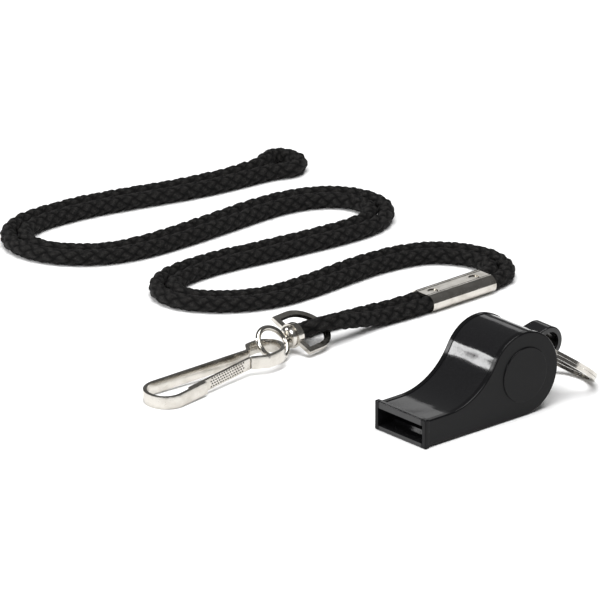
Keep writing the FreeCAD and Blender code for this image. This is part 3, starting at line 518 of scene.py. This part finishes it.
def braided_yarn():
    finish, tree, shader = new_finish("braided_yarn")
    split = add(tree, "ShaderNodeSeparateXYZ", None,
                i0=add(tree, "ShaderNodeUVMap", {"uv_map": "braid"}).outputs[0])
    round_it, along_it = split.outputs[0], split.outputs[1]
    right = maths(tree, "MULTIPLY", maths(tree, "SUBTRACT", round_it, along_it), float(YARNS))
    left = maths(tree, "MULTIPLY", maths(tree, "ADD", round_it, along_it), float(YARNS))
    cell = maths(tree, "ADD", maths(tree, "FLOOR", right), maths(tree, "FLOOR", left))
    left_on_top = maths(tree, "FLOORED_MODULO", cell, 2.0)
    across = add(tree, "ShaderNodeMix", None, i0=left_on_top, i2=right, i3=left).outputs[0]
    centred = maths(tree, "ABSOLUTE", maths(tree, "SUBTRACT", maths(tree, "FRACT", across), 0.5))
    # painted highlight on each yarn's crown, fading to painted shade in the valleys between yarns
    crown = spread(tree, centred, 1.0, 0.0, 0.05, 0.42)
    threads = maths(tree, "SINE", maths(tree, "MULTIPLY", across, 2.0 * math.pi * FILAMENTS))
    fuzz = noise(tree, own_place(tree), 2400.0, 4.0)
    streak = spread(tree, threads, 0.45, 1.0, -1.0, 1.0)
    share = maths(tree, "MULTIPLY", maths(tree, "MULTIPLY", crown, streak),
                  spread(tree, fuzz, 0.15, 1.0, 0.35, 0.68))
    # the base colour carries the painted crown highlight and the painted valley shade
    tree.links.new(blend_colours(tree, share, (0.0012, 0.0011, 0.0011), (0.0400, 0.0380, 0.0365)),
                   shader.inputs["Base Color"])
    tree.links.new(spread(tree, fuzz, 0.55, 0.8), shader.inputs["Roughness"])
    shader.inputs["Specular IOR Level"].default_value = 0.1
    shader.inputs["Sheen Weight"].default_value = 0.02
    shader.inputs["Sheen Roughness"].default_value = 0.45
    height = maths(tree, "ADD", maths(tree, "MULTIPLY", threads, 0.5), fuzz)
    bump(tree, shader, height, 0.00013)
    return finish


braided_cord.data.materials.append(braided_yarn())
print("braided_cord wears", braided_cord.data.materials[0].name)


# %% [markdown]
# The gate's outer face has a knurled patch, so that a thumb doesn't slip off it. A knurling wheel
# presses small four-sided points in staggered rows. One point is modelled and copied, each copy with
# its own mesh, and all are joined into one piece that stands just proud of the gate.

# %% Grip on the gate
GRIP_BACK = 3.0 * MM            # from the middle of the gate towards its root
GRIP_ROWS = 14                  # points along the gate
GRIP_STEP = 1.0 * MM
GRIP_LINES = 4                  # points across it
GRIP_LINE_STEP = 0.78 * MM
POINT_WIDE = 0.74 * MM
POINT_HIGH = 0.26 * MM
POINT_BASE = POINT_WIDE / 1.42  # radius of the foot's corners
POINT_TOP = POINT_WIDE / 9.0
POINT_EASE = 0.03 * MM
POINT_PROUD = 0.4               # share of its height by which a point's middle stands off the gate
GATE_END = 9.0 * MM             # length of gate that counts as its root or its tip
FACES_FRONT = -0.9              # a normal's Y below this is on the gate's outer side
SAME_PLANE = 0.999


def gate_frame():
    """The middle of the gate's flat outer face, and its directions along, out and up."""
    skin = np.array([v.co for v in nodes["hook_gate"].data.vertices])
    root = skin[skin[:, 0] > skin[:, 0].max() - GATE_END]
    tip = skin[skin[:, 0] < skin[:, 0].min() + GATE_END]
    faces = nodes["hook_gate"].data.polygons
    normals = np.array([face.normal for face in faces])
    areas = np.array([face.area for face in faces])
    centres = np.array([face.center for face in faces])
    outward = normals[:, 1] < FACES_FRONT
    out = (normals[outward] * areas[outward, None]).sum(axis=0)
    out /= np.linalg.norm(out)
    flat = outward & (normals @ out > SAME_PLANE)
    middle = (centres[flat] * areas[flat, None]).sum(axis=0) / areas[flat].sum()
    along = tip.mean(axis=0) - root.mean(axis=0)
    along -= out * along.dot(out)
    along /= np.linalg.norm(along)
    return Vector(middle), Vector(along), Vector(out), Vector(out).cross(Vector(along))


def model_point():
    """One small four-sided point at the origin, with its edges eased."""
    bpy.ops.object.select_all(action="DESELECT")
    bpy.ops.mesh.primitive_cone_add(vertices=4, radius1=POINT_BASE, radius2=POINT_TOP,
                                    depth=POINT_HIGH)
    point = bpy.context.object
    bpy.ops.object.mode_set(mode="EDIT")
    bpy.ops.mesh.select_all(action="SELECT")
    bpy.ops.mesh.bevel(offset=POINT_EASE, segments=1)
    bpy.ops.object.mode_set(mode="OBJECT")
    return point


def copy_point(model, place, along, out, up):
    """A copy of the point with its own mesh, turned to the gate's directions at this place."""
    point = model.copy()
    point.data = model.data.copy()
    bpy.context.scene.collection.objects.link(point)
    for vertex in point.data.vertices:
        across, length, high = vertex.co
        vertex.co = place + along * length + up * across + out * high
    return point


def make_grip():
    middle, along, out, up = gate_frame()
    model = model_point()
    points = []
    for row in range(GRIP_ROWS):
        for line in range(GRIP_LINES):
            shift = (row - (GRIP_ROWS - 1) / 2) * GRIP_STEP - GRIP_BACK
            shift += 0.5 * GRIP_STEP if line % 2 else 0.0
            rise = (line - (GRIP_LINES - 1) / 2) * GRIP_LINE_STEP
            place = middle + along * shift + up * rise + out * POINT_HIGH * POINT_PROUD
            points.append(copy_point(model, place, along, out, up))
    bpy.data.objects.remove(model)
    bpy.ops.object.select_all(action="DESELECT")
    for point in points:
        point.select_set(True)
    bpy.context.view_layer.objects.active = points[0]
    bpy.ops.object.join()
    grip = bpy.context.object
    grip.name = "gate_grip"
    grip.data.name = "gate_grip"
    bpy.ops.object.mode_set(mode="EDIT")
    bpy.ops.mesh.select_all(action="SELECT")
    bpy.ops.mesh.normals_make_consistent(inside=False)
    bpy.ops.object.mode_set(mode="OBJECT")
    bpy.ops.object.select_all(action="DESELECT")
    return grip


gate_grip = make_grip()
gate_grip.data.materials.append(strip_nickel)
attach(gate_grip, "gate")
print("grip:", len(gate_grip.data.polygons), "faces, gate's middle in mm",
      [round(c / MM, 1) for c in gate_frame()[0]])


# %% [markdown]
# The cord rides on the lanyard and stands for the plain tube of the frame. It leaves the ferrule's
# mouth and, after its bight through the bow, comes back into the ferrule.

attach(braided_cord, "lanyard")
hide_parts("neck_cord")


# %% [markdown]
# The studio is a white sweep under one very large soft light. A glossy black object shows its shape
# only by what it mirrors, so a small soft box stands where the barrel's front reflects it. A faint
# sheet behind the right end lights the ring, and a box on the left fills the hook. The camera sees
# none of them.

# %% Studio
FLOOR_WIDE = 8.0
FLOOR_UNDER = 0.00002           # the floor lies this little under the object's feet
DAYLIGHT = 0.12
SET_MIDDLE = (0.05, 0.08, 0.0)
BARREL_FRONT = (0.026, 0.001, 0.019)
RIGHT_END = (0.070, 0.040, 0.005)


def white_floor():
    bpy.ops.object.select_all(action="DESELECT")
    bpy.ops.mesh.primitive_plane_add(size=FLOOR_WIDE, location=(0.0, 0.0, -FLOOR_UNDER))
    floor = bpy.context.object
    floor.name = "floor"
    finish, tree, shader = new_finish("white_sweep")
    cloud = noise(tree, own_place(tree), 6.0, 2.0)
    tree.links.new(blend_colours(tree, cloud, (0.93, 0.93, 0.93), (0.95, 0.95, 0.95)),
                   shader.inputs["Base Color"])
    shader.inputs["Roughness"].default_value = 0.9
    shader.inputs["Specular IOR Level"].default_value = 0.0
    floor.data.materials.append(finish)


def soft_box(name, place, aim, wide, high, power):
    lamp = bpy.data.lights.new(name, "AREA")
    lamp.shape = "RECTANGLE"
    lamp.size = wide
    lamp.size_y = high
    lamp.energy = power
    box = bpy.data.objects.new(name, lamp)
    box.location = place
    box.visible_camera = False
    box.rotation_euler = (Vector(aim) - Vector(place)).to_track_quat("-Z", "Y").to_euler()
    bpy.context.scene.collection.objects.link(box)


def daylight(strength):
    world = bpy.data.worlds.new("studio")
    world.use_nodes = True
    sky = world.node_tree.nodes["Background"]
    sky.inputs["Color"].default_value = (1.0, 1.0, 1.0, 1.0)
    sky.inputs["Strength"].default_value = strength
    bpy.context.scene.world = world


white_floor()
daylight(DAYLIGHT)
soft_box("barrel_glint", (-0.262, 0.370, 0.200), BARREL_FRONT, wide=0.075, high=0.125, power=0.42)
soft_box("back_sheet", (0.441, 0.456, 0.227), RIGHT_END, wide=0.10, high=0.12, power=0.030)
soft_box("overhead", (-0.05, -0.15, 1.8), SET_MIDDLE, wide=1.6, high=1.6, power=46.0)
soft_box("left_box", (-1.1, -0.1, 0.7), SET_MIDDLE, wide=0.6, high=0.5, power=7.0)
bpy.context.scene.view_settings.view_transform = "Standard"
print("studio set, with", len(bpy.data.lights), "soft boxes")
